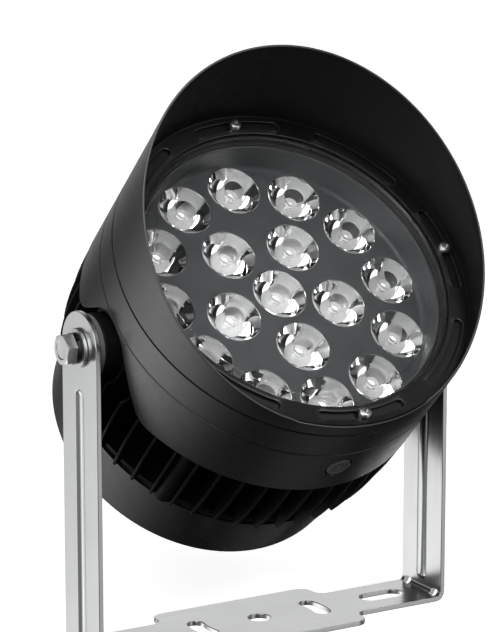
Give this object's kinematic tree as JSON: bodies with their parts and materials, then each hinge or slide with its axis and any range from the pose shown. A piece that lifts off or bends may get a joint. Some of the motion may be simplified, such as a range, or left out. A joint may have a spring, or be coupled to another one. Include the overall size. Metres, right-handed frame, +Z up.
{
  "type": "led floodlight",
  "caption": "Round LED floodlight with a slanted visor, radial fins and a rear cap, tilting in a bent steel bracket.",
  "frame": {"origin": "centre of the bracket's base, on its underside, midway between the legs", "axes": "+X along the pivot line, -Y the side that the beam points to, +Z up from the base to the lamp"},
  "size_m": [0.262, 0.2594, 0.3493],
  "materials": {
    "polished_steel": "polished stainless steel",
    "washer_steel": "plain stainless steel",
    "spring_steel": "dark spring steel",
    "bolt_steel": "plain stainless steel",
    "screw_steel": "plain stainless steel",
    "cap_screw_steel": "plain stainless steel",
    "fin_paint": "black powder coat",
    "shell_paint": "black powder coat",
    "visor_paint": "black powder coat",
    "cap_paint": "black powder coat",
    "clear_glass": "clear tempered glass",
    "lens_plastic": "clear optical plastic",
    "holder_grey": "fine matte moulding",
    "board_white": "white solder mask on an aluminium core",
    "black_rubber": "silicone rubber",
    "disc_fibre": "friction material",
    "driver_grey": "potted case",
    "gland_nylon": "black nylon",
    "vent_nylon": "dark grey nylon"
  },
  "bodies": {
    "bracket": {"bracket": "polished_steel"},
    "head": {"breather_vent": "vent_nylon", "cable_gland": "gland_nylon", "driver": "driver_grey", "friction_disc_left": "disc_fibre", "friction_disc_right": "disc_fibre", "front_bezel": "shell_paint", "front_glass": "clear_glass", "glass_gasket": "black_rubber", "heat_sink": "fin_paint", "housing_shell": "shell_paint", "led_board": "board_white", "lens_01": "lens_plastic", "lens_02": "lens_plastic", "lens_03": "lens_plastic", "lens_04": "lens_plastic", "lens_05": "lens_plastic", "lens_06": "lens_plastic", "lens_07": "lens_plastic", "lens_08": "lens_plastic", "lens_09": "lens_plastic", "lens_10": "lens_plastic", "lens_11": "lens_plastic", "lens_12": "lens_plastic", "lens_13": "lens_plastic", "lens_14": "lens_plastic", "lens_15": "lens_plastic", "lens_16": "lens_plastic", "lens_17": "lens_plastic", "lens_18": "lens_plastic", "lens_holder": "holder_grey", "pivot_bolt_left": "bolt_steel", "pivot_bolt_right": "bolt_steel", "plain_washer_left": "washer_steel", "plain_washer_right": "washer_steel", "rear_cap": "cap_paint", "rear_cap_screw_1": "cap_screw_steel", "rear_cap_screw_2": "cap_screw_steel", "rear_cap_screw_3": "cap_screw_steel", "rear_cap_screw_4": "cap_screw_steel", "rear_gasket": "black_rubber", "spring_washer_left": "spring_steel", "spring_washer_right": "spring_steel", "visor_screw_1": "screw_steel", "visor_screw_2": "screw_steel", "visor_screw_3": "screw_steel", "visor_screw_4": "screw_steel"},
    "visor": {"visor": "visor_paint"}
  },
  "joints": [
    {"name": "head_tilt", "type": "hinge", "parent": "bracket", "child": "head", "pos_m": [0, 0, 0.183], "axis": [1, 0, 0], "range_deg": [-45, 135]},
    {"name": "visor_turn", "type": "hinge", "parent": "head", "child": "visor", "pos_m": [0, 0, 0.183], "axis": [0, -0.7071, 0.7071], "range_deg": [-13, 13]}
  ]
}
